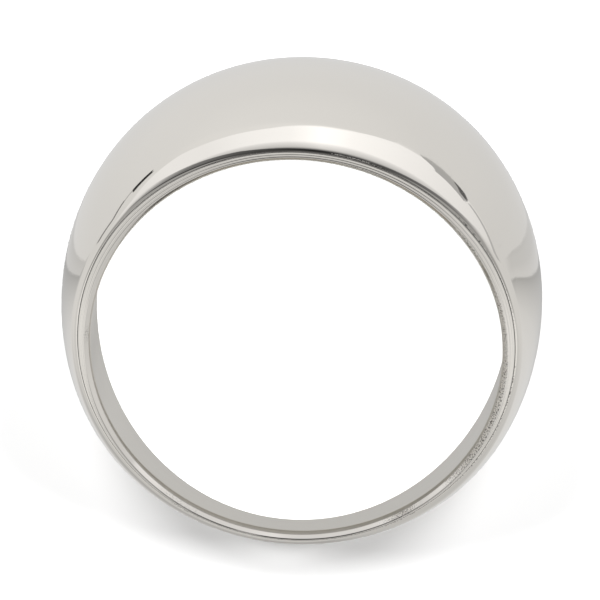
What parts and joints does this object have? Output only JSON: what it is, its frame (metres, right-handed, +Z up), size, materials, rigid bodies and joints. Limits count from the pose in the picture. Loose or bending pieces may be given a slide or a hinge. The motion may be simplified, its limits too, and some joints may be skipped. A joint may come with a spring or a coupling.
{
  "type": "cigar band ring",
  "caption": "Plain domed finger ring: a broad rounded band over the finger that tapers to a slim shank, with flat rims and a round finger hole.",
  "frame": {"origin": "where the axis of the finger hole meets the resting rim; the ring lies on that rim, so z = 0 is the surface that it lies on", "axes": "+Z up, out of the surface that the ring lies on; +Y towards the broad dome, -Y towards the slim back of the shank; X across the ring. The finger hole's axis leans 17.03 degrees from +Z towards -Y, because both rims slope to the shank"},
  "size_m": [0.0202, 0.0204, 0.0131],
  "materials": {
    "silver": "mirror-polished sterling silver on the dome and rims, fine satin in the finger hole"
  },
  "bodies": {
    "root": {"band": "silver"}
  },
  "joints": []
}
